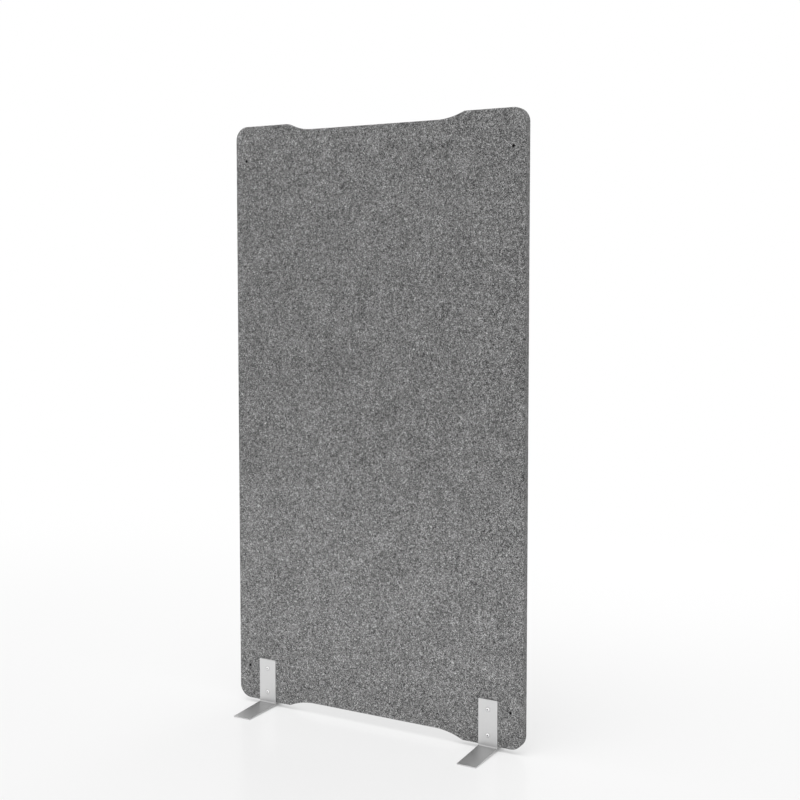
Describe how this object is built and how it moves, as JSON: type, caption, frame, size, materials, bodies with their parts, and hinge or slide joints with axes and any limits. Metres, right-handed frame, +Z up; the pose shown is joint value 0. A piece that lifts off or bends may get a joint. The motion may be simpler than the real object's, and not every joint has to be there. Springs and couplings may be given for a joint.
{
  "type": "acoustic divider screen",
  "caption": "Free-standing acoustic divider: a tall felt board with rounded corners and shallow edge recesses, clamped between bent flat steel feet.",
  "frame": {"origin": "on the floor, under the middle of the board", "axes": "+X along the board to the right seen from the front, +Y from the front of the board to its rear, +Z up"},
  "size_m": [0.9, 0.2822, 1.662],
  "materials": {
    "felt": "matte",
    "foot_steel": "satin",
    "fastener_steel": "polished"
  },
  "bodies": {
    "root": {"felt_board": "felt", "front_left_foot": "foot_steel", "front_right_foot": "foot_steel", "rear_left_foot": "foot_steel", "rear_right_foot": "foot_steel", "left_upper_bolt": "fastener_steel", "left_lower_bolt": "fastener_steel", "right_upper_bolt": "fastener_steel", "right_lower_bolt": "fastener_steel", "left_upper_sleeve_nut": "fastener_steel", "left_lower_sleeve_nut": "fastener_steel", "right_upper_sleeve_nut": "fastener_steel", "right_lower_sleeve_nut": "fastener_steel"}
  },
  "joints": []
}
